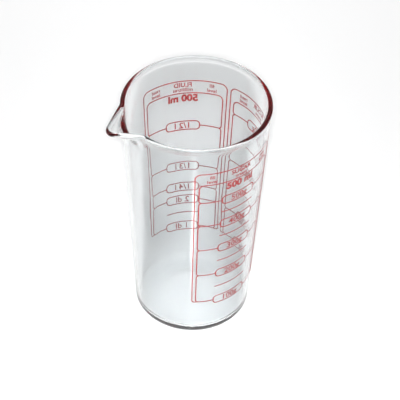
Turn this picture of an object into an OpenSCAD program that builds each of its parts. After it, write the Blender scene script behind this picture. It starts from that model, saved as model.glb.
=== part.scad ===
// Tall glass measuring beaker with a pulled pouring lip, and three measuring
// scales fired onto the outside of the wall in red enamel.
// Millimetres. The beaker stands on z = 0, z is the wall's own axis, and the
// pouring lip points towards -x.

/* [Glass] */
// Height from the foot to the top of the rim
beaker_h = 168; // [160:1:176]
// Diameter over the rim's bead
rim_d = 94.6; // [92:0.2:97]
// Outer diameter of the tapered wall where it would reach the foot plane
base_d = 74.8; // [72:0.2:78]
// Thickness of the wall
wall_t = 2.5; // [2.2:0.1:2.8]
// Thickness of the bottom
floor_t = 4.2; // [3.5:0.1:5]
// Thickness of the fire-polished bead round the rim
bead_d = 3.1; // [3:0.1:3.4]
// Outer rounding between the wall and the bottom
heel_r = 6.5; // [5:0.5:8]
// Inner rounding between the wall and the floor
fillet_r = 5; // [4:0.5:6]

/* [Pouring lip] */
// Reach of the lip's tip from the beaker's axis
lip_reach = 60; // [58:0.2:62]
// How far the tip droops below the rim
lip_droop = 3.5; // [2:0.5:5]
// Depth below the rim at which the lip's underside leaves the wall
lip_depth = 14; // [12:0.5:17]
// Half of the angle over which the lip leaves the round rim
lip_angle = 23.5; // [22:0.5:26]

/* [Scales] */
// Height of the top line round each scale
frame_top = 148.5; // [146:0.5:150]
// Height of the line under each heading
inner_top = 139; // [137:0.5:140]
// Width of the enamel lines
line_w = 0.8; // [0.6:0.05:1]
// Thickness of the enamel film
film_t = 0.1; // [0.08:0.01:0.15]
// Millilitres that 100 g of sugar fills
sugar_ml = 111.5; // [108:0.5:114]
// Millilitres that 100 g of flour fills
flour_ml = 195; // [180:1:197]

/* [Hidden] */
$fn = 96;

glass_colour = [0.80, 0.86, 0.87, 0.35];
enamel_colour = [0.72, 0.07, 0.09];

// ---- the vessel's wall ----
rim_r = rim_d / 2;
bead_r = bead_d / 2;
base_r = base_d / 2;
// The bead is flush with the wall's inner face and stands proud of its outer face.
wall_top_r = rim_r - bead_d + wall_t + 0.15;
taper = (wall_top_r - base_r) / (beaker_h - bead_r);
lean = atan(taper);
function outer_r(z) = base_r + taper * z;
function inner_r(z) = outer_r(z) - wall_t / cos(lean);

// ---- the pouring lip, seen from above and pointing towards +x ----
// The bead's centre line leaves the rim in a concave bend, runs straight, and
// turns round the tip. The bend and the tip are arcs, and the straight run is
// the tangent between them.
rim_path_r = rim_r - bead_r;
bend_r = 7;
tip_r = 4.6;
bend_c = (rim_path_r + bend_r) * [cos(lip_angle), sin(lip_angle)];
tip_c = [lip_reach - bead_r - tip_r, 0];
tip_gap = norm(tip_c - bend_c);
run_dir = atan2(tip_c[1] - bend_c[1], tip_c[0] - bend_c[0]) - acos((bend_r + tip_r) / tip_gap);
run_end = tip_c - tip_r * [cos(run_dir), sin(run_dir)];
root = rim_path_r * [cos(lip_angle), sin(lip_angle)];
tip_turn = run_dir + 180;
lip_tilt = asin(lip_droop / (lip_reach - bead_r - root[0]));

module lip_plane() {
  rotate([0, 0, 180]) translate([root[0], 0, beaker_h - bead_r])
    rotate([0, lip_tilt, 0]) translate([-root[0], 0, 0]) children();
}

module wall_section() {
  heel_x = outer_r(heel_r) - heel_r / cos(lean);
  top_z = beaker_h - bead_r;
  polygon([[0, 0], [heel_x, 0], [heel_x, heel_r],
           [heel_x + heel_r * cos(lean), heel_r - heel_r * sin(lean)],
           [outer_r(top_z), top_z], [0, top_z]]);
  intersection() {
    translate([heel_x, heel_r]) circle(heel_r);
    translate([0, 0]) square([base_d, heel_r]);
  }
  translate([rim_path_r, beaker_h - bead_r]) circle(bead_r);
}

module cavity_section() {
  fil_z = floor_t + fillet_r;
  fil_x = inner_r(fil_z) - fillet_r / cos(lean);
  top_z = beaker_h + 1;
  polygon([[0, floor_t], [fil_x, floor_t], [fil_x, fil_z],
           [fil_x + fillet_r * cos(lean), fil_z - fillet_r * sin(lean)],
           [inner_r(top_z), top_z], [0, top_z]]);
  intersection() {
    translate([fil_x, fil_z]) circle(fillet_r);
    translate([0, floor_t]) square([base_d, fillet_r]);
  }
}

// The underside is pushed up a little, so that the beaker stands on a ring.
module push_up() {
  rise = 1;
  foot_w = 4.5;
  slope = 8;
  foot_in = base_r - heel_r - foot_w;
  translate([0, 0, -rise]) cylinder(r1 = foot_in + slope, r2 = foot_in - slope, h = 2 * rise);
}

// The lip's plan, cut back by `inset` from the bead's centre line and run
// inwards to x = `back`.
module lip_plan(inset, back) {
  n = [cos(run_dir), sin(run_dir)];
  flank = run_end + n * inset;
  along = (flank[0] - back) / sin(tip_turn);
  rear = [back, flank[1] + along * (-cos(tip_turn))];
  r = tip_r - inset;
  arc = [for (i = [0:10]) tip_c + r * [cos(tip_turn * (1 - i / 5)), sin(tip_turn * (1 - i / 5))]];
  polygon(concat([[rear[0], abs(rear[1])]], arc, [[rear[0], -abs(rear[1])]]));
}

// The lip's outside: a rounded edge as thick as the bead runs from the rim to
// the tip, and the dish under it narrows to a keel on the wall.
module lip_dish() {
  keel_z = beaker_h - lip_depth;
  keel_r = 5;
  edge_r = bead_r - 0.1;
  hull() {
    lip_plane() {
      for (y = [-1, 1]) translate([root[0] + 0.4, y * (root[1] - 0.5), 0]) sphere(edge_r, $fn = 20);
      for (i = [-4:4]) translate(tip_c + tip_r * [cos(tip_turn * i / 4), sin(tip_turn * i / 4)])
        sphere(bead_r, $fn = 20);
    }
    translate([-(outer_r(keel_z) - keel_r), 0, keel_z]) sphere(keel_r, $fn = 32);
  }
}

module lip_channel() {
  floor_over_keel = 2.2;
  groove_r = 3.6;
  behind = root[0] - 5.5;
  above = 14;
  slab = 0.4;
  keel_z = beaker_h - lip_depth + floor_over_keel;
  hull() {
    lip_plane() linear_extrude(slab) lip_plan(bead_r, behind);
    translate([0, 0, above]) lip_plane() linear_extrude(slab) lip_plan(bead_r, behind);
    translate([-(inner_r(keel_z) - groove_r), 0, keel_z]) sphere(groove_r, $fn = 32);
  }
}

module glass_body() {
  color(glass_colour) difference() {
    union() {
      rotate_extrude() wall_section();
      lip_dish();
    }
    rotate_extrude() cavity_section();
    lip_channel();
    push_up();
  }
}

// ---- enamel films on the tapered wall ----
// A film point is given by its azimuth in degrees, its height, and how far it
// stands off the glass.
gap = 0.03;
// Nicks and slivers narrower than twice this are smoothed out of a letter.
smooth = 0.02;
function on_wall(az, z, off) = [(outer_r(z) + off) * cos(az), (outer_r(z) + off) * sin(az), z];

// Sharp turns in a line are mitred, up to a limit.
function turn_dir(a, b) = (b - a) / max(norm(b - a), 0.0001);
function side_of(d) = [-d[1], d[0]];
function mitre(p, i, loop) =
  let (n = len(p),
       before = i > 0 ? p[i - 1] : loop ? p[n - 2] : p[0] - (p[1] - p[0]),
       after = i < n - 1 ? p[i + 1] : loop ? p[1] : p[n - 1] + (p[n - 1] - p[n - 2]),
       d = turn_dir(before, p[i]) + turn_dir(p[i], after),
       m = side_of(d / max(norm(d), 0.0001)),
       s = side_of(turn_dir(before, p[i])))
  m / max(m * s, 0.6);

// The four corners of a line's cross-section at one of its points.
function rib(q, m, w, az, ref) =
  let (turn = 180 / (PI * ref),
       c = [cos(az + q[0] * turn), sin(az + q[0] * turn), 0],
       a = q + m * w / 2,
       b = q - m * w / 2,
       pa = on_wall(az + a[0] * turn, a[1], gap),
       pb = on_wall(az + b[0] * turn, b[1], gap))
  [pa, pb, pb + c * film_t, pa + c * film_t];

// A painted line through the points `p`, in millimetres sideways and up from
// the azimuth `az`, measured along the wall where its radius is `ref`. A line
// that ends where it began is closed. `w` is one width, or one for each point.
module line_of(p, w, az, ref) {
  loop = norm(p[0] - p[len(p) - 1]) < 0.001;
  n = len(p) - (loop ? 1 : 0);
  ribs = [for (i = [0:n - 1]) rib(p[i], mitre(p, i, loop), is_list(w) ? w[i] : w, az, ref)];
  sides = [for (i = [0:len(p) - 2], k = [0:3], half = [0, 1])
    let (a = 4 * i, b = 4 * ((i + 1) % n), m = (k + 1) % 4)
    half == 0 ? [a + m, b + m, b + k] : [a + m, b + k, a + k]];
  ends = loop ? [] : [[3, 2, 1, 0], [4 * n - 4, 4 * n - 3, 4 * n - 2, 4 * n - 1]];
  polyhedron([for (r = ribs, q = r) q], concat(sides, ends));
}

// A level band on the wall, as a true piece of the cone.
module level_band(az0, az1, z, w) {
  k = w / 2;
  rotate([0, 0, az0]) rotate_extrude(angle = az1 - az0)
    polygon([[outer_r(z - k) + gap, z - k], [outer_r(z - k) + gap + film_t, z - k],
             [outer_r(z + k) + gap + film_t, z + k], [outer_r(z + k) + gap, z + k]]);
}

// Points along part of an ellipse.
function bow(c, r, from, to, n) =
  [for (i = [0:n]) let (a = from + (to - from) * i / n) c + [r[0] * cos(a), r[1] * sin(a)]];
// Points along a level line, close enough together to follow the wall.
function level(x0, x1, z, step) =
  let (n = max(1, ceil(abs(x1 - x0) / step))) [for (i = [0:n]) [x0 + (x1 - x0) * i / n, z]];
function inner_points(p) = [for (i = [1:len(p) - 2]) p[i]];
function flip(p) = [for (q = p) [-q[0], q[1]]];
function back(p) = [for (i = [len(p) - 1:-1:0]) p[i]];

// ---- plain single-line lettering, capitals 6 high and small letters 4 ----
function glyph(c) =
  c == "0" ? [bow([2, 3], [1.7, 3], 0, 360, 10)] :
  c == "1" ? [[[0.6, 4.7], [2, 5.9]], [[2, 6], [2, 0]]] :
  c == "2" ? [concat(bow([2, 4.3], [1.7, 1.7], 165, -35, 5), [[0.4, 0.1]]), [[0.2, 0], [3.8, 0]]] :
  c == "3" ? [bow([1.9, 4.5], [1.5, 1.5], 150, -95, 5), bow([1.9, 1.6], [1.7, 1.6], 100, -150, 6)] :
  c == "4" ? [[[3, 0], [3, 6]], [[2.9, 5.8], [0.3, 1.9]], [[0.1, 1.8], [4, 1.8]]] :
  c == "5" ? [[[3.5, 6], [0.8, 6]], [[0.8, 6.3], [0.55, 3.1]], bow([1.8, 1.95], [1.9, 1.95], 130, -140, 7)] :
  c == "/" ? [[[0.2, -0.3], [2.8, 6.3]]] :
  c == "l" ? [[[0.8, 0], [0.8, 6]]] :
  c == "d" ? [bow([1.75, 2], [1.5, 2], 0, 360, 8), [[3.3, 0], [3.3, 6]]] :
  c == "g" ? [bow([1.75, 2.1], [1.5, 1.9], 0, 360, 8),
              [[3.3, 4], [3.3, -0.4]], bow([1.8, -0.3], [1.5, 1.4], 0, -150, 4)] :
  c == "m" ? [[[0.4, 0], [0.4, 4]], concat(bow([1.4, 2.8], [1, 1.2], 145, 0, 3), [[2.4, 0]]),
              concat(bow([3.4, 2.8], [1, 1.2], 145, 0, 3), [[4.4, 0]])] :
  c == "i" ? [[[0.6, 0], [0.6, 4]], [[0.6, 5.2], [0.6, 5.9]]] :
  c == "r" ? [[[0.5, 0], [0.5, 4]], bow([1.8, 2.6], [1.3, 1.4], 165, 60, 2)] :
  c == "e" ? [[[0.5, 2.1], [3.4, 2.1]], bow([1.9, 2], [1.5, 2], 5, 320, 7)] :
  c == "a" ? [bow([1.75, 2], [1.5, 2], 0, 360, 8), [[3.3, 0], [3.3, 4]]] :
  c == "s" ? [concat(bow([1.7, 3], [1.3, 1], 30, 250, 4), bow([1.7, 1], [1.4, 1], 70, -150, 4))] :
  c == "t" ? [[[1.2, 5.4], [1.2, 0.6], [1.8, 0], [2.4, 0]], [[0.2, 4], [2.3, 4]]] :
  c == "f" ? [concat(bow([2.1, 4.9], [1.1, 1.1], 60, 180, 2), [[1, 0]]), [[0.1, 4], [2.2, 4]]] :
  c == "v" ? [[[0.2, 4], [1.65, 0.1]], [[1.7, -0.1], [3.2, 4]]] :
  c == "F" ? [[[0.4, 0], [0.4, 6], [3.4, 6]], [[0.4, 3.2], [2.9, 3.2]]] :
  c == "L" ? [[[0.4, 6], [0.4, 0], [3.4, 0]]] :
  c == "U" ? [concat([[0.4, 6]], bow([2, 1.8], [1.6, 1.8], 180, 360, 5), [[3.6, 6]])] :
  c == "I" ? [[[0.6, 0], [0.6, 6]]] :
  c == "D" ? [concat([[0.4, 0], [0.4, 6]], bow([1.2, 3], [2.6, 3], 90, -90, 6), [[0.4, 0]])] :
  c == "S" ? [concat(bow([2, 4.5], [1.6, 1.5], 30, 250, 5), bow([2, 1.5], [1.7, 1.5], 70, -150, 5))] :
  c == "G" ? [concat(bow([2.1, 3], [1.8, 3], 45, 330, 7), [[3.9, 2.8], [2.4, 2.8]])] :
  c == "A" ? [[[0.2, 0], [2.05, 5.9]], [[2.1, 6.1], [4, 0]], [[0.9, 2.1], [3.3, 2.1]]] :
  c == "R" ? [[[0.4, 0], [0.4, 6.1]], concat([[0.35, 6]], bow([2, 4.5], [1.6, 1.5], 90, -90, 5), [[0.45, 3]]),
              [[2, 3], [3.7, 0]]] :
  c == "O" ? [bow([2.1, 3], [1.8, 3], 0, 360, 10)] : [];
function advance(c) =
  c == " " ? 2.6 : c == "l" || c == "i" ? 2 : c == "I" ? 2.4 : c == "1" ? 3.6 :
  c == "/" ? 3.6 : c == "t" || c == "f" ? 3.2 : c == "r" ? 3.6 : c == "m" ? 5.8 :
  c == "s" || c == "v" || c == "L" || c == "F" ? 4.4 : c == "D" || c == "G" || c == "O" ? 5.4 : 5;
function width_to(t, i) = i == 0 ? 0 : width_to(t, i - 1) + advance(t[i - 1]);

// The flat outline of one stroke. A stroke that ends where it began is a ring.
module stroke(p, w) {
  loop = norm(p[0] - p[len(p) - 1]) < 0.001;
  n = len(p) - (loop ? 1 : 0);
  right = [for (i = [0:n - 1]) p[i] + mitre(p, i, loop) * w / 2];
  left = [for (i = [0:n - 1]) p[i] - mitre(p, i, loop) * w / 2];
  if (loop) polygon(concat(right, left), [[for (i = [0:n - 1]) i], [for (i = [0:n - 1]) n + i]]);
  else polygon(concat(right, back(left)));
}

// Text centred on the azimuth `az` plus `x` millimetres, standing on height z.
// Each letter is a flat plate that touches the cone along its middle, so near
// the wall that the plate's sides stand off less than half its thickness.
module lettering(t, az, x, z, height, w) {
  s = height / 6;
  mid_z = z + height / 2;
  turn = 180 / (PI * outer_r(mid_z));
  start = x - width_to(t, len(t)) * s / 2;
  for (i = [0:len(t) - 1]) if (t[i] != " ") {
    half_w = (advance(t[i]) - 1) / 2;
    across = start + (width_to(t, i) + half_w) * s;
    rotate([0, 0, az + across * turn]) translate([outer_r(mid_z) + gap, 0, mid_z])
      rotate([0, lean, 0]) rotate([90, 0, 90]) linear_extrude(film_t)
        offset(delta = smooth) offset(delta = -2 * smooth) offset(delta = smooth)
          for (p = glyph(t[i])) stroke([for (q = p) s * (q - [half_w, 3])], w);
  }
}

// ---- how high each amount fills the beaker ----
// The inside is a cone frustum less the rounding at its foot.
fillet_loss = (1 - PI / 4) * pow(fillet_r, 2) * 2 * PI * (inner_r(floor_t) - fillet_r * 0.22);
function fill_z(ml) =
  (pow(3 * taper * (ml * 1000 + fillet_loss) / PI + pow(inner_r(floor_t), 3), 1 / 3)
   - inner_r(0)) / taper;

// ---- the three scales ----
// Each scale: azimuth, half width of its inner frame, and its amounts. The
// widths are measured where the wall's radius is frame_ref.
frame_ref = outer_r(100);
frame_gap = 2.6;
cell_r = 2;
outer_corner = 4;
inner_corner = 3.5;
// Lines that meet share the width of the line they run into, and stop just
// short of one another.
join = 0.275 * line_w;
clear = 0.04;
pill_half_h = 3.4;
pill_corner = 2.6;
number_h = 4.4;
number_w = 0.68;
word_h = 3.2;
word_w = 0.6;
small_h = 2.5;
small_w = 0.44;
word_up = 5;
small_up = 1.5;
mark_drop = 6.3;
mark_h = 5;
mark_w = 1.15;
scale_pitch = 76.4;
liquid_az = scale_pitch;
flour_az = 0;
sugar_az = -scale_pitch;
liquid_half = 25.8;
sugar_half = 26.4;
flour_half = 23.8;
liquid_pill = 11.4;
sugar_pill = 12.2;
flour_pill = 11.4;
liquid_z = [for (v = [500, 1000 / 3, 250, 200, 100]) fill_z(v)];
liquid_text = ["1/2 l", "1/3 l", "1/4 l", "2 dl", "1 dl"];
liquid_tick_z = [fill_z(150)];
sugar_z = [for (g = [500, 400, 300, 200, 100]) fill_z(g * sugar_ml / 100)];
sugar_text = ["500g", "400g", "300g", "200g", "100g"];
sugar_tick_z = [for (g = [450, 350, 250, 150]) fill_z(g * sugar_ml / 100)];
flour_z = [for (g = [300, 200, 100, 50]) fill_z(g * flour_ml / 100)];
flour_text = ["300g", "200g", "100g", "50g"];
flour_tick_z = [for (g = [250, 150]) fill_z(g * flour_ml / 100)];

// A cell's rounding at its right side, from the side down or up to the level
// line at z. The cell is above the line (up = 1) or below it (up = -1).
function cell_turn(half, z, up) =
  bow([half - cell_r, z + up * cell_r], [cell_r, cell_r - join], 0, -90 * up, 3);
turn_w = [line_w, line_w, 0.85 * line_w, 0.45 * line_w];

// The double frame: an outer line over the top and down both sides, and inner
// cells whose corners are rounded wherever a level line leaves them.
module frame_lines(az, half, zs) {
  last = len(zs) - 1;
  low = zs[last];
  out = half + frame_gap;
  heel = 1.6;
  corner = bow([out - outer_corner, frame_top - outer_corner], [outer_corner, outer_corner], 90, 0, 4);
  foot = concat(bow([out - heel, low + heel], [heel, heel], 0, -90, 3),
                [[half, low - 0.2 * join], [half - cell_r / 2, low - 0.6 * join], [half - cell_r, low - join]]);
  foot_w = concat([for (i = [0:4]) line_w], [0.75 * line_w, 0.45 * line_w]);
  over = inner_points(level(-out + outer_corner, out - outer_corner, frame_top, 3));
  line_of(concat(back(flip(concat(corner, foot))), over, corner, foot),
          concat(back(foot_w), [for (i = [1:2 * len(corner) + len(over)]) line_w], foot_w),
          az, frame_ref);

  shoulder = bow([half - inner_corner, inner_top - inner_corner], [inner_corner, inner_corner], 90, 0, 4);
  side = concat(shoulder, cell_turn(half, zs[0], 1));
  inner = inner_points(level(-half + inner_corner, half - inner_corner, inner_top, 3));
  line_of(concat(back(flip(side)), inner, side),
          concat(back(turn_w), [for (i = [1:2 * len(shoulder) + len(inner)]) line_w], turn_w),
          az, frame_ref);

  for (i = [1:last]) {
    cell = concat(back(cell_turn(half, zs[i - 1], -1)), cell_turn(half, zs[i], 1));
    line_of(cell, concat(back(turn_w), turn_w), az, frame_ref);
    line_of(back(flip(cell)), concat(back(turn_w), turn_w), az, frame_ref);
  }
}

// The level lines from the frame's cells to the pills.
module level_lines(az, half, pill, zs) {
  for (z = zs) {
    near = (pill + line_w / 2 + clear) * 180 / (PI * outer_r(z));
    far = (half - cell_r - clear) * 180 / (PI * frame_ref);
    level_band(az + near, az + far, z, line_w);
    level_band(az - far, az - near, z, line_w);
  }
}

module ticks(az, pill, zs) {
  for (z = zs) level_band(az - pill * 180 / (PI * outer_r(z)), az + pill * 180 / (PI * outer_r(z)),
                          z, line_w);
}

module pills(az, pill, zs) {
  h = pill_half_h;
  r = pill_corner;
  for (z = zs) {
    q = bow([pill - r, z + h - r], [r, r], 0, 90, 3);
    top = level(pill - r, -(pill - r), z + h, 3);
    up = concat(q, inner_points(top), back(flip(q)));
    under = [for (i = [len(up) - 1:-1:0]) [up[i][0], 2 * z - up[i][1]]];
    line_of(concat(up, under, [up[0]]), line_w, az, outer_r(z));
  }
}

module numerals(az, zs, names) {
  for (i = [0:len(zs) - 1]) lettering(names[i], az, 0, zs[i] - number_h / 2, number_h, number_w);
}

module heading(az, half, word, unit) {
  lettering(word, az, 0, inner_top + word_up, word_h, word_w);
  lettering(unit, az, 0, inner_top + small_up, small_h, small_w);
  for (side = [-1, 1]) {
    x = side * (half - 6.5);
    lettering(side < 0 ? "fill" : "read", az, x, inner_top + word_up, small_h, small_w);
    lettering("level", az, x, inner_top + small_up, small_h, small_w);
  }
}

module liquid_border() { color(enamel_colour) frame_lines(liquid_az, liquid_half, liquid_z); }
module liquid_lines() { color(enamel_colour) level_lines(liquid_az, liquid_half, liquid_pill, liquid_z); }
module liquid_pills() { color(enamel_colour) pills(liquid_az, liquid_pill, liquid_z); }
module liquid_ticks() { color(enamel_colour) ticks(liquid_az, liquid_pill, liquid_tick_z); }
module liquid_numerals() { color(enamel_colour) numerals(liquid_az, liquid_z, liquid_text); }
module liquid_heading() { color(enamel_colour) heading(liquid_az, liquid_half, "FLUID", "millilitres"); }

module sugar_border() { color(enamel_colour) frame_lines(sugar_az, sugar_half, sugar_z); }
module sugar_lines() { color(enamel_colour) level_lines(sugar_az, sugar_half, sugar_pill, sugar_z); }
module sugar_pills() { color(enamel_colour) pills(sugar_az, sugar_pill, sugar_z); }
module sugar_ticks() { color(enamel_colour) ticks(sugar_az, sugar_pill, sugar_tick_z); }
module sugar_numerals() { color(enamel_colour) numerals(sugar_az, sugar_z, sugar_text); }
module sugar_heading() { color(enamel_colour) heading(sugar_az, sugar_half, "SUGAR", "grams"); }

module flour_border() { color(enamel_colour) frame_lines(flour_az, flour_half, flour_z); }
module flour_lines() { color(enamel_colour) level_lines(flour_az, flour_half, flour_pill, flour_z); }
module flour_pills() { color(enamel_colour) pills(flour_az, flour_pill, flour_z); }
module flour_ticks() { color(enamel_colour) ticks(flour_az, flour_pill, flour_tick_z); }
module flour_numerals() { color(enamel_colour) numerals(flour_az, flour_z, flour_text); }
module flour_heading() { color(enamel_colour) heading(flour_az, flour_half, "FLOUR", "grams"); }

// The bold capacity mark under the heading of the liquid and the sugar scale.
module capacity_marks() {
  color(enamel_colour) for (az = [liquid_az, sugar_az])
    lettering("500 ml", az, 0, inner_top - mark_drop, mark_h, mark_w);
}

glass_body();
liquid_border();
liquid_lines();
liquid_pills();
liquid_ticks();
liquid_numerals();
liquid_heading();
sugar_border();
sugar_lines();
sugar_pills();
sugar_ticks();
sugar_numerals();
sugar_heading();
flour_border();
flour_lines();
flour_pills();
flour_ticks();
flour_numerals();
flour_heading();
capacity_marks();
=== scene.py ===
import math

import bmesh
import bpy
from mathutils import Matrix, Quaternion, Vector


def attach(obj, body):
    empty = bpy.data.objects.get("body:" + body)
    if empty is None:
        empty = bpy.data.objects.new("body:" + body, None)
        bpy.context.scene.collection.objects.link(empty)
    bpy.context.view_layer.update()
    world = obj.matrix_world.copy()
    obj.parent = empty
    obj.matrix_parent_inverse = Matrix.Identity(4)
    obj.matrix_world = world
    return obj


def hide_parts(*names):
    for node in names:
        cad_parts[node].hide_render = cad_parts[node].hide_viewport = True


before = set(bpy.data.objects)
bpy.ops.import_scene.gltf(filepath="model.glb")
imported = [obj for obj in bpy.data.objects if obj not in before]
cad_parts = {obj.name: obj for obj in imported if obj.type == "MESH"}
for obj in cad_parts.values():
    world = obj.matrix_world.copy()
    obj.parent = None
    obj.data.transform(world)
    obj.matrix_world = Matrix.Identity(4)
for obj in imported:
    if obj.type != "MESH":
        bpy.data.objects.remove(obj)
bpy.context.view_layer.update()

# The studio: a camera well back and above, looking down past the rim to the
# floor of the beaker, which stands on a sheet of polished white acrylic. The
# main lamp is beside the camera, so that the beaker's shadow lies behind it.
camera = bpy.data.objects.new("studio_camera", bpy.data.cameras.new("studio_camera"))
bpy.context.scene.collection.objects.link(camera)
bpy.context.scene.camera = camera
camera.data.lens = 169.3
camera.data.sensor_width = 36
camera.data.clip_start = 0.05
camera.data.clip_end = 20
aim_point = Vector((0.0035, -0.0017, 0.0861))
camera.location = (-0.3835, -0.8077, 0.9072)
camera_roll = math.radians(1.68)
camera.rotation_mode = "QUATERNION"
facing_beaker = (aim_point - camera.location).to_track_quat("-Z", "Y")
camera.rotation_quaternion = facing_beaker @ Quaternion((0, 0, 1), camera_roll)
bpy.context.scene.view_settings.view_transform = "Standard"
bpy.context.scene.cycles.max_bounces = 256
bpy.context.scene.cycles.transmission_bounces = 256
bpy.context.scene.cycles.glossy_bounces = 256


def new_material(name):
    material = bpy.data.materials.new(name)
    material.use_nodes = True
    nodes = material.node_tree.nodes
    return material, nodes, material.node_tree.links, nodes["Principled BSDF"]


acrylic, nodes, links, shader = new_material("white_acrylic")
shader.inputs["Base Color"].default_value = (0.93, 0.93, 0.93, 1)
shader.inputs["IOR"].default_value = 1.49
place = nodes.new("ShaderNodeTexCoord")
haze = nodes.new("ShaderNodeTexNoise")
haze.inputs["Scale"].default_value = 9
haze_range = nodes.new("ShaderNodeMapRange")
haze_range.inputs["To Min"].default_value = 0.08
haze_range.inputs["To Max"].default_value = 0.16
links.new(place.outputs["Object"], haze.inputs["Vector"])
links.new(haze.outputs["Fac"], haze_range.inputs["Value"])
links.new(haze_range.outputs["Result"], shader.inputs["Roughness"])

sheet = bmesh.new()
bmesh.ops.create_circle(sheet, cap_ends=True, radius=6, segments=96)
sheet_mesh = bpy.data.meshes.new("acrylic_floor")
sheet.to_mesh(sheet_mesh)
sheet.free()
floor = bpy.data.objects.new("acrylic_floor", sheet_mesh)
floor.location.z = -0.0002
bpy.context.scene.collection.objects.link(floor)
floor.data.materials.append(acrylic)

sky = bpy.data.worlds.new("studio_walls")
bpy.context.scene.world = sky
sky.use_nodes = True
walls = sky.node_tree.nodes["Background"]
walls.inputs["Color"].default_value = (0.97, 0.985, 1.0, 1)
walls.inputs["Strength"].default_value = 0.1


def hang(lamp, location, aim):
    """A lamp on its stand. It isn't seen through the glass, only reflected in it."""
    head = bpy.data.objects.new(lamp.name, lamp)
    head.location = location
    head.rotation_mode = "QUATERNION"
    head.rotation_quaternion = (Vector(aim) - Vector(location)).to_track_quat("-Z", "Y")
    head.visible_transmission = False
    bpy.context.scene.collection.objects.link(head)


def softbox(name, location, width, watts):
    lamp = bpy.data.lights.new(name, "AREA")
    lamp.size = width
    lamp.energy = watts
    hang(lamp, location, (0, 0, 0.08))


def spot(name, location, aim, spread_degrees, soft_edge, bulb, watts):
    lamp = bpy.data.lights.new(name, "SPOT")
    lamp.spot_size = math.radians(spread_degrees)
    lamp.spot_blend = soft_edge
    lamp.shadow_soft_size = bulb
    lamp.energy = watts
    hang(lamp, location, aim)


beside_camera = camera.location * 1.02
softbox("overhead_diffuser", (0, 0.1, 1.5), 1.6, 6.6)
softbox("front_softbox", beside_camera, 0.06, 21)
spot("background_spot", (0.42, 0.9, 1.2), (0.3, 0.7, 0), 62, 1, 0.25, 40)
spot("snoot", (0, 0, 0.6), (0, 0, 0), 6, 0.35, 0.01, 3.8)

# The vessel: borosilicate glass in one piece, formed in a mould. The bottom is
# thicker than the wall, the rim is melted into a bead, and the lip is drawn
# out of the hot rim with a tool. Sizes are in millimetres.
MM = 0.001
beaker_h = 168.0
base_r = 37.4
wall_t = 2.5
floor_t = 4.2
bead_r = 1.6
rim_r = 47.3
bead_z = beaker_h - bead_r
wall_top_r, wall_top_z = 46.85, beaker_h - 1.55
taper = (wall_top_r - base_r) / wall_top_z
lean = math.atan(taper)
wall_across = wall_t / math.cos(lean)


def outer_r(z):
    return base_r + taper * z


def arc(centre, radius, start, stop, steps):
    turns = [math.radians(start + (stop - start) * i / steps) for i in range(steps + 1)]
    return [(centre[0] + radius * math.cos(a), centre[1] + radius * math.sin(a)) for a in turns]


bead_x = rim_r - bead_r
bead_swell = math.degrees(math.acos((bead_x - outer_r(bead_z) + wall_across) / bead_r))
lean_deg = math.degrees(lean)
fillet_r = 5.0
fillet_z = floor_t + fillet_r
fillet_x = outer_r(fillet_z) - wall_across - fillet_r / math.cos(lean)
heel_r = 6.5
heel_x = outer_r(heel_r) - heel_r / math.cos(lean)
neck_z = bead_z - 2.9
bead_end = -38
push_up = 1.0
foot_in, dome_out = 27.5, 16.5
floor_steps, corner_steps, wall_steps, bead_steps = 16, 14, 96, 24
ring_steps, dome_steps, centre_steps = 4, 12, 8

profile = [(fillet_x * i / floor_steps, floor_t) for i in range(floor_steps)]
profile += arc((fillet_x, fillet_z), fillet_r, -90, -lean_deg, corner_steps)
inside_top = bead_z - bead_r * math.sin(math.radians(bead_swell))
inside_foot = profile[-1][1]
for i in range(1, wall_steps):
    z = inside_foot + (inside_top - inside_foot) * i / wall_steps
    profile.append((outer_r(z) - wall_across, z))
profile += arc((bead_x, bead_z), bead_r, 180 + bead_swell, bead_end, bead_steps)
outside_foot = heel_r - heel_r * math.sin(lean)
for i in range(wall_steps):
    z = neck_z + (outside_foot - neck_z) * i / wall_steps
    profile.append((outer_r(z), z))
profile += arc((heel_x, heel_r), heel_r, -lean_deg, -90, corner_steps)
profile += [(heel_x + (foot_in - heel_x) * i / ring_steps, 0) for i in range(1, ring_steps + 1)]
for i in range(1, dome_steps + 1):
    rise = 0.5 - 0.5 * math.cos(math.pi * i / dome_steps)
    profile.append((foot_in + (dome_out - foot_in) * i / dome_steps, push_up * rise))
profile += [(dome_out * (1 - i / centre_steps), push_up) for i in range(1, centre_steps + 1)]

# Plan of the rim's centre line from the lip's tip (0 degrees) round to the
# back: tip, straight flank, concave bend, then the circle.
lip_half = math.radians(23.5)
bend_r, tip_r = 7.0, 4.6
lip_reach = 60.0
lip_droop = 3.5
lip_drop_z = 10.5
lip_fade, droop_fade = 1.8, 1.2
tip_steps, flank_steps, bend_steps, round_steps = 12, 18, 10, 128
bend_c = Vector((math.cos(lip_half), math.sin(lip_half))) * (bead_x + bend_r)
tip_c = Vector((lip_reach - bead_r - tip_r, 0))
to_tip = tip_c - bend_c
flank_turn = math.atan2(to_tip.y, to_tip.x) - math.acos((bend_r + tip_r) / to_tip.length)
flank_out = -Vector((math.cos(flank_turn), math.sin(flank_turn)))
flank_from = tip_c + flank_out * tip_r
flank_to = bend_c - flank_out * bend_r
rim = []
for i in range(tip_steps):
    turn = (flank_turn + math.pi) * i / tip_steps
    out = Vector((math.cos(turn), math.sin(turn)))
    rim.append((tip_c + out * tip_r, out))
for i in range(flank_steps):
    rim.append((flank_from.lerp(flank_to, i / flank_steps), flank_out))
for i in range(bend_steps):
    turn = flank_turn + (lip_half - math.pi - flank_turn) * i / bend_steps
    out = -Vector((math.cos(turn), math.sin(turn)))
    rim.append((bend_c - out * bend_r, out))
for i in range(round_steps + 1):
    turn = lip_half + (math.pi - lip_half) * i / round_steps
    out = Vector((math.cos(turn), math.sin(turn)))
    rim.append((out * bead_x, out))
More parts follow.
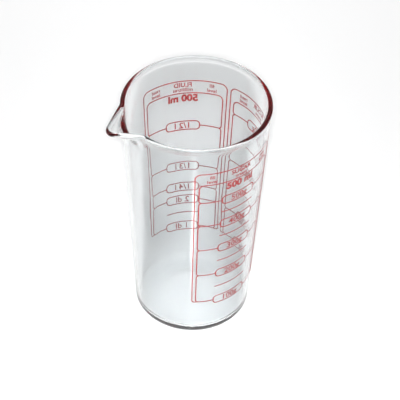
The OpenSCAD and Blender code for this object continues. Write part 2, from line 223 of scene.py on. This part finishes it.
rim += [(Vector((p.x, -p.y)), Vector((n.x, -n.y))) for p, n in reversed(rim[1:-1])]
root_x = bead_x * math.cos(lip_half)


def drawn(point, out, r, z):
    """A point of the profile, carried out with the lip."""
    spoke = point.normalized()
    pull = point - spoke * bead_x
    depth = max(0.0, beaker_h - 2 * bead_r - z) / lip_drop_z
    share = max(0.0, 1 - depth) ** lip_fade if pull.length > 0 else 0.0
    path = bead_x - taper * (bead_z - z)
    facing = (spoke * (1 - share) + out * share).normalized()
    plan = spoke * path + pull * share + facing * (r - path)
    reach = max(0.0, (point.x - root_x) / (lip_reach - bead_r - root_x))
    droop = lip_droop * share * reach ** droop_fade
    return Vector((-plan.x, -plan.y, z - droop)) * MM


vessel = bmesh.new()
rings = [[vessel.verts.new(drawn(p, n, r, z)) for p, n in rim]
         if r > 0.01 else [vessel.verts.new((0, 0, z * MM))] for r, z in profile]
for lower, upper in zip(rings, rings[1:]):
    for i in range(len(rim)):
        j = (i + 1) % len(rim)
        corners = [lower[i % len(lower)], lower[j % len(lower)],
                   upper[j % len(upper)], upper[i % len(upper)]]
        vessel.faces.new(list(dict.fromkeys(corners)))
bmesh.ops.recalc_face_normals(vessel, faces=vessel.faces)
for face in vessel.faces:
    face.smooth = True
glass_mesh = bpy.data.meshes.new("beaker_glass")
vessel.to_mesh(glass_mesh)
vessel.free()
glass = bpy.data.objects.new("beaker_glass", glass_mesh)
bpy.context.scene.collection.objects.link(glass)

clear_glass, nodes, links, shader = new_material("borosilicate_glass")
shader.inputs["Base Color"].default_value = (0.885, 0.898, 0.902, 1)
shader.inputs["Transmission Weight"].default_value = 1
shader.inputs["IOR"].default_value = 1.474
place = nodes.new("ShaderNodeTexCoord")
drawn_out = nodes.new("ShaderNodeMapping")
drawn_out.inputs["Scale"].default_value = (70, 70, 16)
ripple = nodes.new("ShaderNodeTexNoise")
ripple.inputs["Scale"].default_value = 1
ripple.inputs["Detail"].default_value = 1.5
swell = nodes.new("ShaderNodeBump")
swell.inputs["Strength"].default_value = 0.25
swell.inputs["Distance"].default_value = 0.0006
wiped = nodes.new("ShaderNodeTexNoise")
wiped.inputs["Scale"].default_value = 45
wiped.inputs["Detail"].default_value = 6
film = nodes.new("ShaderNodeMapRange")
film.inputs["From Min"].default_value = 0.45
film.inputs["From Max"].default_value = 0.75
film.inputs["To Min"].default_value = 0.0
film.inputs["To Max"].default_value = 0.035
links.new(place.outputs["Object"], drawn_out.inputs["Vector"])
links.new(drawn_out.outputs["Vector"], ripple.inputs["Vector"])
links.new(ripple.outputs["Fac"], swell.inputs["Height"])
links.new(swell.outputs["Normal"], shader.inputs["Normal"])
links.new(place.outputs["Object"], wiped.inputs["Vector"])
links.new(wiped.outputs["Fac"], film.inputs["Value"])
links.new(film.outputs["Result"], shader.inputs["Roughness"])
body_tint = nodes.new("ShaderNodeVolumeAbsorption")
body_tint.inputs["Color"].default_value = (0.62, 0.66, 0.67, 1)
body_tint.inputs["Density"].default_value = 14
links.new(body_tint.outputs["Volume"], nodes["Material Output"].inputs["Volume"])
lamp_ray = nodes.new("ShaderNodeLightPath")
straight_through = nodes.new("ShaderNodeBsdfTransparent")
straight_through.inputs["Color"].default_value = (0.565, 0.573, 0.577, 1)
either = nodes.new("ShaderNodeMixShader")
links.new(lamp_ray.outputs["Is Shadow Ray"], either.inputs["Fac"])
links.new(shader.outputs["BSDF"], either.inputs[1])
links.new(straight_through.outputs["BSDF"], either.inputs[2])
links.new(either.outputs["Shader"], nodes["Material Output"].inputs["Surface"])
glass.data.materials.append(clear_glass)
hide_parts("glass_body")
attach(glass, "root")

# The liquid scale: red glass enamel, screen printed on the outside of the
# wall and fired until it fuses into the surface. It is on the far side, so
# from the front it is seen through the beaker, back to front.
enamel, nodes, links, shader = new_material("fired_red_enamel")
place = nodes.new("ShaderNodeTexCoord")
thickness = nodes.new("ShaderNodeTexNoise")
thickness.inputs["Scale"].default_value = 900
thickness.inputs["Detail"].default_value = 3
shade = nodes.new("ShaderNodeValToRGB")
shade.color_ramp.elements[0].position = 0.3
shade.color_ramp.elements[0].color = (0.23, 0.003, 0.004, 1)
shade.color_ramp.elements[1].position = 0.72
shade.color_ramp.elements[1].color = (0.42, 0.004, 0.006, 1)
matt = nodes.new("ShaderNodeMapRange")
matt.inputs["To Min"].default_value = 0.28
matt.inputs["To Max"].default_value = 0.5
mesh_mark = nodes.new("ShaderNodeTexVoronoi")
mesh_mark.inputs["Scale"].default_value = 4200
skin = nodes.new("ShaderNodeBump")
skin.inputs["Strength"].default_value = 0.3
skin.inputs["Distance"].default_value = 0.00002
links.new(place.outputs["Object"], thickness.inputs["Vector"])
links.new(place.outputs["Object"], mesh_mark.inputs["Vector"])
links.new(thickness.outputs["Fac"], shade.inputs["Fac"])
links.new(thickness.outputs["Fac"], matt.inputs["Value"])
links.new(shade.outputs["Color"], shader.inputs["Base Color"])
links.new(matt.outputs["Result"], shader.inputs["Roughness"])
links.new(mesh_mark.outputs["Distance"], skin.inputs["Height"])
links.new(skin.outputs["Normal"], shader.inputs["Normal"])
shader.inputs["Coat Weight"].default_value = 0.25
shader.inputs["Coat Roughness"].default_value = 0.2

sunk = -0.04
edge_up = 0.02
crown_up = 0.055
line_w = 0.8
across_line = [(-0.5, sunk), (-0.5, edge_up), (-0.34, crown_up),
               (0.34, crown_up), (0.5, edge_up), (0.5, sunk)]
frame_ref = outer_r(100)


def on_wall(azimuth, z, off):
    r = outer_r(z) + off
    return Vector((r * math.cos(azimuth), r * math.sin(azimuth), z)) * MM


def spread(points, step):
    """The points of a line with more between them, none further apart than the step."""
    full = [Vector(points[0])]
    for point in points[1:]:
        start, gap = full[-1], Vector(point) - full[-1]
        count = max(1, math.ceil(gap.length / step))
        full += [start + gap * (i / count) for i in range(1, count + 1)]
    return full


def rib(print_mesh, centre, side, azimuth, ref):
    """The corners of a line's cross-section. The side vector is as long as the line is wide."""
    return [print_mesh.verts.new(on_wall(azimuth + (centre.x + side.x * k) / ref,
                                         centre.y + side.y * k, off))
            for k, off in across_line]


def lay_line(print_mesh, points, azimuth, ref):
    """One squeegeed line: sunk edges, a flat crown, and ends that are nearly round."""
    line_step, sharpest = 1.2, 0.6
    tip_narrow, shoulder_narrow, shoulder_back = 0.55, 0.95, 0.22
    closed = (Vector(points[0]) - Vector(points[-1])).length < 0.001
    path = spread(points, line_step)
    if closed:
        path.pop()
    n = len(path)
    ribs = []
    for i, point in enumerate(path):
        ahead = path[(i + 1) % n] if closed or i < n - 1 else point * 2 - path[i - 1]
        behind = path[i - 1] if closed or i else point * 2 - path[1]
        run, came = (ahead - point).normalized(), (point - behind).normalized()
        along = (run + came).normalized()
        side = Vector((-along.y, along.x)) * line_w / max(sharpest, abs(along.dot(run)))
        at_end = not closed and i in (0, n - 1)
        ribs.append(rib(print_mesh, point, side * (tip_narrow if at_end else 1), azimuth, ref))
        if at_end:
            inwards = (run if i == 0 else -run) * line_w * shoulder_back
            shoulder = rib(print_mesh, point + inwards, side * shoulder_narrow, azimuth, ref)
            ribs.insert(len(ribs) if i == 0 else len(ribs) - 1, shoulder)
    for i in range(len(ribs) if closed else len(ribs) - 1):
        a, b = ribs[i], ribs[(i + 1) % len(ribs)]
        for k in range(len(across_line)):
            m = (k + 1) % len(across_line)
            print_mesh.faces.new((a[k], a[m], b[m], b[k]))
    if not closed:
        print_mesh.faces.new(ribs[0])
        print_mesh.faces.new(list(reversed(ribs[-1])))


def stamp(print_mesh, words, azimuth, x, z, cap_height, bolder):
    """Words cut in the stencil's plain sans, wrapped round the wall."""
    cap_share, strip = 0.682, 0.8
    type_size = cap_height / cap_share
    curve = bpy.data.curves.new("words", "FONT")
    curve.body = words
    curve.align_x = "CENTER"
    curve.size = type_size
    curve.extrude = 0.5
    curve.offset = bolder * type_size
    curve.resolution_u = 3
    block = bpy.data.objects.new("words", curve)
    bpy.context.scene.collection.objects.link(block)
    bpy.context.view_layer.update()
    solid = bpy.data.meshes.new_from_object(block.evaluated_get(bpy.context.evaluated_depsgraph_get()))
    letters = bmesh.new()
    letters.from_mesh(solid)
    bmesh.ops.remove_doubles(letters, verts=letters.verts, dist=0.0005 * type_size)
    half = max(abs(v.co.x) for v in letters.verts)
    cut = -half
    while cut < half:
        cut += strip
        bmesh.ops.bisect_plane(letters, geom=letters.verts[:] + letters.edges[:] + letters.faces[:],
                               plane_co=(cut, 0, 0), plane_no=(1, 0, 0))
    ref = outer_r(z + cap_height / 2)
    for v in letters.verts:
        v.co = on_wall(azimuth + (x + v.co.x) / ref, z + v.co.y, crown_up if v.co.z > 0 else sunk)
    letters.to_mesh(solid)
    letters.free()
    print_mesh.from_mesh(solid)
    bpy.data.objects.remove(block)
    bpy.data.meshes.remove(solid)
    bpy.data.curves.remove(curve)


def fired_piece(name, print_mesh, node):
    bmesh.ops.recalc_face_normals(print_mesh, faces=print_mesh.faces)
    mesh = bpy.data.meshes.new(name)
    print_mesh.to_mesh(mesh)
    print_mesh.free()
    piece = bpy.data.objects.new(name, mesh)
    bpy.context.scene.collection.objects.link(piece)
    piece.data.materials.append(enamel)
    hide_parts(node)
    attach(piece, "root")


def mirrored(points):
    return [(-x, z) for x, z in reversed(points)]


def print_frame(scale, azimuth, half, heights):
    """The double frame: an outer line, and inner cells rounded at each level."""
    frame_gap, frame_top, inner_top = 2.6, 148.5, 139.0
    cell_r, outer_corner, inner_corner, heel = 2.0, 4.0, 3.5, 1.6
    out, low = half + frame_gap, heights[-1]
    lines = bmesh.new()
    right = arc((out - outer_corner, frame_top - outer_corner), outer_corner, 90, 0, 8)
    right += arc((out - heel, low + heel), heel, 0, -90, 6) + [(half - cell_r, low)]
    lay_line(lines, mirrored(right) + right, azimuth, frame_ref)
    right = arc((half - inner_corner, inner_top - inner_corner), inner_corner, 90, 0, 8)
    right += arc((half - cell_r, heights[0] + cell_r), cell_r, 0, -90, 6)
    lay_line(lines, mirrored(right) + right, azimuth, frame_ref)
    for above, below in zip(heights, heights[1:]):
        cell = arc((half - cell_r, above - cell_r), cell_r, 90, 0, 6)
        cell += arc((half - cell_r, below + cell_r), cell_r, 0, -90, 6)
        lay_line(lines, cell, azimuth, frame_ref)
        lay_line(lines, mirrored(cell), azimuth, frame_ref)
    fired_piece(scale + "_frame", lines, scale + "_border")


def print_levels(scale, azimuth, half, box_half, heights):
    off_box, off_frame = 0.2, 1.9
    lines = bmesh.new()
    for z in heights:
        start, stop = box_half * frame_ref / outer_r(z) + off_box, half - off_frame
        lay_line(lines, [(start, z), (stop, z)], azimuth, frame_ref)
        lay_line(lines, [(-stop, z), (-start, z)], azimuth, frame_ref)
    fired_piece(scale + "_level_lines", lines, scale + "_lines")


def print_boxes(scale, azimuth, box_half, heights):
    box_up, corner = 3.4, 2.6
    lines = bmesh.new()
    for z in heights:
        top = arc((box_half - corner, z + box_up - corner), corner, 0, 90, 7)
        top += mirrored(top)
        ring = top + [(x, 2 * z - y) for x, y in reversed(top)]
        lay_line(lines, ring + ring[:1], azimuth, outer_r(z))
    fired_piece(scale + "_number_boxes", lines, scale + "_pills")


def print_half_marks(scale, azimuth, box_half, heights):
    lines = bmesh.new()
    for z in heights:
        lay_line(lines, [(-box_half, z), (box_half, z)], azimuth, outer_r(z))
    fired_piece(scale + "_half_marks", lines, scale + "_ticks")


def print_numbers(scale, azimuth, heights, numbers):
    number_h, weight = 4.4, 0.016
    letters = bmesh.new()
    for z, words in zip(heights, numbers):
        stamp(letters, words, azimuth, 0, z - number_h / 2, number_h, weight)
    fired_piece(scale + "_numbers", letters, scale + "_numerals")


def print_heading(scale, azimuth, half, words, unit):
    word_z, word_h, word_weight = 144.0, 3.2, 0.024
    small_z, small_h, small_weight = 140.5, 2.5, 0.018
    side_x = half - 6.5
    letters = bmesh.new()
    stamp(letters, words, azimuth, 0, word_z, word_h, word_weight)
    stamp(letters, unit, azimuth, 0, small_z, small_h, small_weight)
    for x, verb in ((-side_x, "fill"), (side_x, "read")):
        stamp(letters, verb, azimuth, x, word_z, small_h, small_weight)
        stamp(letters, "level", azimuth, x, small_z, small_h, small_weight)
    fired_piece(scale + "_words", letters, scale + "_heading")


def print_scale(scale, azimuth, half, box_half, heights, half_heights, numbers, words, unit):
    print_frame(scale, azimuth, half, heights)
    print_levels(scale, azimuth, half, box_half, heights)
    print_boxes(scale, azimuth, box_half, heights)
    print_half_marks(scale, azimuth, box_half, half_heights)
    print_numbers(scale, azimuth, heights, numbers)
    print_heading(scale, azimuth, half, words, unit)


foot_inside = outer_r(floor_t) - wall_across
corner_area = (1 - math.pi / 4) * fillet_r ** 2
corner_middle = 0.22 * fillet_r
lost = corner_area * 2 * math.pi * (foot_inside - corner_middle)


def fill_z(millilitres):
    """How high an amount stands: the inside is a cone less the rounding at its foot."""
    cone = 3 * taper * (millilitres * 1000 + lost) / math.pi + foot_inside ** 3
    return (cone ** (1 / 3) - (base_r - wall_across)) / taper


liquid_azimuth = math.radians(76.4)
print_scale("liquid", liquid_azimuth, half=25.8, box_half=11.4,
            heights=[fill_z(v) for v in (500, 1000 / 3, 250, 200, 100)],
            half_heights=[fill_z(150)],
            numbers=("1/2 l", "1/3 l", "1/4 l", "2 dl", "1 dl"),
            words="FLUID", unit="millilitres")

# The sugar scale: the same enamel and the same frame, nearest the reader's
# right hand. 100 g of sugar fills 111.5 ml.
sugar_azimuth = math.radians(-76.4)
sugar_ml = 1.115
print_scale("sugar", sugar_azimuth, half=26.4, box_half=12.2,
            heights=[fill_z(g * sugar_ml) for g in (500, 400, 300, 200, 100)],
            half_heights=[fill_z(g * sugar_ml) for g in (450, 350, 250, 150)],
            numbers=("500g", "400g", "300g", "200g", "100g"),
            words="SUGAR", unit="grams")

# The flour scale: the same enamel, on the side away from the lip, between the
# other two. 100 g of flour fills about 195 ml, so its marks are further apart.
flour_azimuth = 0.0
flour_ml = 1.95
print_scale("flour", flour_azimuth, half=23.8, box_half=11.4,
            heights=[fill_z(g * flour_ml) for g in (300, 200, 100, 50)],
            half_heights=[fill_z(g * flour_ml) for g in (250, 150)],
            numbers=("300g", "200g", "100g", "50g"),
            words="FLOUR", unit="grams")

# The bold capacity mark under the heading of the liquid and the sugar scale,
# from the same enamel laid on more heavily through a coarser screen.
mark_z, mark_h, mark_weight = 132.7, 5.0, 0.045
letters = bmesh.new()
for azimuth in (liquid_azimuth, sugar_azimuth):
    stamp(letters, "500 ml", azimuth, 0, mark_z, mark_h, mark_weight)
fired_piece("capacity_words", letters, "capacity_marks")
